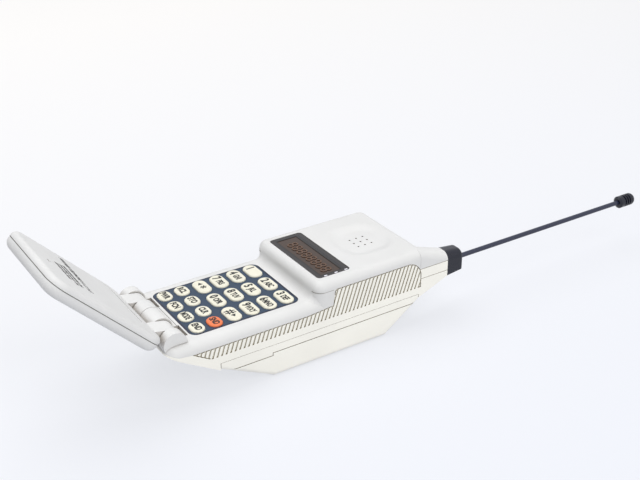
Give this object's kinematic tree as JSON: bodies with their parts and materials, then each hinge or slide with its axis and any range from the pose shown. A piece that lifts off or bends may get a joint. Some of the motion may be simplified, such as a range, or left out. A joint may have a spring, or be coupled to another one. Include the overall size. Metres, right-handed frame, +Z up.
{
  "type": "early mobile brick phone",
  "caption": "Early hand-held mobile telephone with a fold-down mouthpiece flip, raised earpiece hood, keypad, slide-out antenna and clip-on battery.",
  "frame": {"origin": "centre of the battery's flat bottom, which the telephone rests on", "axes": "+X along the length towards the antenna, +Y across to the side with keys 1, 4 and 7, +Z up out of the keypad face"},
  "size_m": [0.3519, 0.0592, 0.0843],
  "materials": {
    "shell_white": "fine satin moulded plastic",
    "shell_cream": "fine satin moulded plastic, slightly yellowed",
    "key_cream": "smooth moulded plastic with printed figures",
    "key_orange": "smooth moulded plastic",
    "panel_navy": "printed satin overlay",
    "membrane_rubber": "moulded silicone",
    "board_green": "lacquered laminate",
    "bright_steel": "plated",
    "window_smoke": "smoked clear plastic",
    "digit_red": "unlit digits in dark resin",
    "speaker_grey": "matt",
    "black_plastic": "polished",
    "rod_black": "black sleeve over steel rod",
    "contact_gold": "gold flash",
    "cell_wrap": "shrink-wrapped cell"
  },
  "bodies": {
    "handset": {"antenna_collar": "black_plastic", "antenna_guide": "black_plastic", "battery_contacts": "contact_gold", "display_module": "digit_red", "display_window": "window_smoke", "earpiece_speaker": "speaker_grey", "front_housing": "shell_white", "hinge_pin": "bright_steel", "housing_screws": "bright_steel", "keypad_membrane": "membrane_rubber", "keypad_panel": "panel_navy", "main_board": "board_green", "rear_housing": "shell_cream", "rf_shield": "bright_steel", "ringer": "black_plastic"},
    "flip": {"flip_inner_cover": "shell_white", "flip_outer_cover": "shell_white", "microphone": "bright_steel"},
    "antenna": {"antenna_rod": "rod_black", "antenna_ferrule": "contact_gold", "antenna_tip": "black_plastic"},
    "battery_pack": {"battery_base": "shell_cream", "battery_shell": "shell_cream", "battery_cells": "cell_wrap", "battery_terminals": "contact_gold"},
    "latch": {"battery_latch": "shell_cream"},
    "key_clear_cap": {"key_clear": "key_cream"},
    "key_eight_cap": {"key_eight": "key_cream"},
    "key_end_cap": {"key_end": "key_cream"},
    "key_five_cap": {"key_five": "key_cream"},
    "key_four_cap": {"key_four": "key_cream"},
    "key_function_cap": {"key_function": "key_cream"},
    "key_mode_cap": {"key_mode": "key_cream"},
    "key_nine_cap": {"key_nine": "key_cream"},
    "key_one_cap": {"key_one": "key_cream"},
    "key_pound_cap": {"key_pound": "key_cream"},
    "key_power_cap": {"key_power": "key_cream"},
    "key_recall_cap": {"key_recall": "key_cream"},
    "key_send_cap": {"key_send": "key_orange"},
    "key_seven_cap": {"key_seven": "key_cream"},
    "key_six_cap": {"key_six": "key_cream"},
    "key_star_cap": {"key_star": "key_cream"},
    "key_store_cap": {"key_store": "key_cream"},
    "key_three_cap": {"key_three": "key_cream"},
    "key_two_cap": {"key_two": "key_cream"},
    "key_zero_cap": {"key_zero": "key_cream"}
  },
  "joints": [
    {"name": "key_clear_press", "type": "slide", "parent": "handset", "child": "key_clear_cap", "axis": [0, 0, -1], "range_m": [0, 0.0007], "stiffness_N_per_m": 700},
    {"name": "key_eight_press", "type": "slide", "parent": "handset", "child": "key_eight_cap", "axis": [0, 0, -1], "range_m": [0, 0.0007], "stiffness_N_per_m": 700},
    {"name": "key_end_press", "type": "slide", "parent": "handset", "child": "key_end_cap", "axis": [0, 0, -1], "range_m": [0, 0.0007], "stiffness_N_per_m": 700},
    {"name": "key_five_press", "type": "slide", "parent": "handset", "child": "key_five_cap", "axis": [0, 0, -1], "range_m": [0, 0.0007], "stiffness_N_per_m": 700},
    {"name": "key_four_press", "type": "slide", "parent": "handset", "child": "key_four_cap", "axis": [0, 0, -1], "range_m": [0, 0.0007], "stiffness_N_per_m": 700},
    {"name": "key_function_press", "type": "slide", "parent": "handset", "child": "key_function_cap", "axis": [0, 0, -1], "range_m": [0, 0.0007], "stiffness_N_per_m": 700},
    {"name": "key_mode_press", "type": "slide", "parent": "handset", "child": "key_mode_cap", "axis": [0, 0, -1], "range_m": [0, 0.0007], "stiffness_N_per_m": 700},
    {"name": "key_nine_press", "type": "slide", "parent": "handset", "child": "key_nine_cap", "axis": [0, 0, -1], "range_m": [0, 0.0007], "stiffness_N_per_m": 700},
    {"name": "key_one_press", "type": "slide", "parent": "handset", "child": "key_one_cap", "axis": [0, 0, -1], "range_m": [0, 0.0007], "stiffness_N_per_m": 700},
    {"name": "key_pound_press", "type": "slide", "parent": "handset", "child": "key_pound_cap", "axis": [0, 0, -1], "range_m": [0, 0.0007], "stiffness_N_per_m": 700},
    {"name": "key_power_press", "type": "slide", "parent": "handset", "child": "key_power_cap", "axis": [0, 0, -1], "range_m": [0, 0.0007], "stiffness_N_per_m": 700},
    {"name": "key_recall_press", "type": "slide", "parent": "handset", "child": "key_recall_cap", "axis": [0, 0, -1], "range_m": [0, 0.0007], "stiffness_N_per_m": 700},
    {"name": "key_send_press", "type": "slide", "parent": "handset", "child": "key_send_cap", "axis": [0, 0, -1], "range_m": [0, 0.0007], "stiffness_N_per_m": 700},
    {"name": "key_seven_press", "type": "slide", "parent": "handset", "child": "key_seven_cap", "axis": [0, 0, -1], "range_m": [0, 0.0007], "stiffness_N_per_m": 700},
    {"name": "key_six_press", "type": "slide", "parent": "handset", "child": "key_six_cap", "axis": [0, 0, -1], "range_m": [0, 0.0007], "stiffness_N_per_m": 700},
    {"name": "key_star_press", "type": "slide", "parent": "handset", "child": "key_star_cap", "axis": [0, 0, -1], "range_m": [0, 0.0007], "stiffness_N_per_m": 700},
    {"name": "key_store_press", "type": "slide", "parent": "handset", "child": "key_store_cap", "axis": [0, 0, -1], "range_m": [0, 0.0007], "stiffness_N_per_m": 700},
    {"name": "key_three_press", "type": "slide", "parent": "handset", "child": "key_three_cap", "axis": [0, 0, -1], "range_m": [0, 0.0007], "stiffness_N_per_m": 700},
    {"name": "key_two_press", "type": "slide", "parent": "handset", "child": "key_two_cap", "axis": [0, 0, -1], "range_m": [0, 0.0007], "stiffness_N_per_m": 700},
    {"name": "key_zero_press", "type": "slide", "parent": "handset", "child": "key_zero_cap", "axis": [0, 0, -1], "range_m": [0, 0.0007], "stiffness_N_per_m": 700},
    {"name": "flip_hinge", "type": "hinge", "parent": "handset", "child": "flip", "pos_m": [-0.0817, 0, 0.0333], "axis": [0, 1, 0], "range_deg": [0, 133.8]},
    {"name": "antenna_pull", "type": "slide", "parent": "handset", "child": "antenna", "axis": [-1, 0, 0], "range_m": [0, 0.12]},
    {"name": "battery_removal", "type": "slide", "parent": "handset", "child": "battery_pack", "axis": [0, 0, -1], "range_m": [0, 0.02]},
    {"name": "latch_press", "type": "slide", "parent": "battery_pack", "child": "latch", "axis": [-1, 0, 0], "range_m": [0, 0.002], "stiffness_N_per_m": 1200}
  ]
}
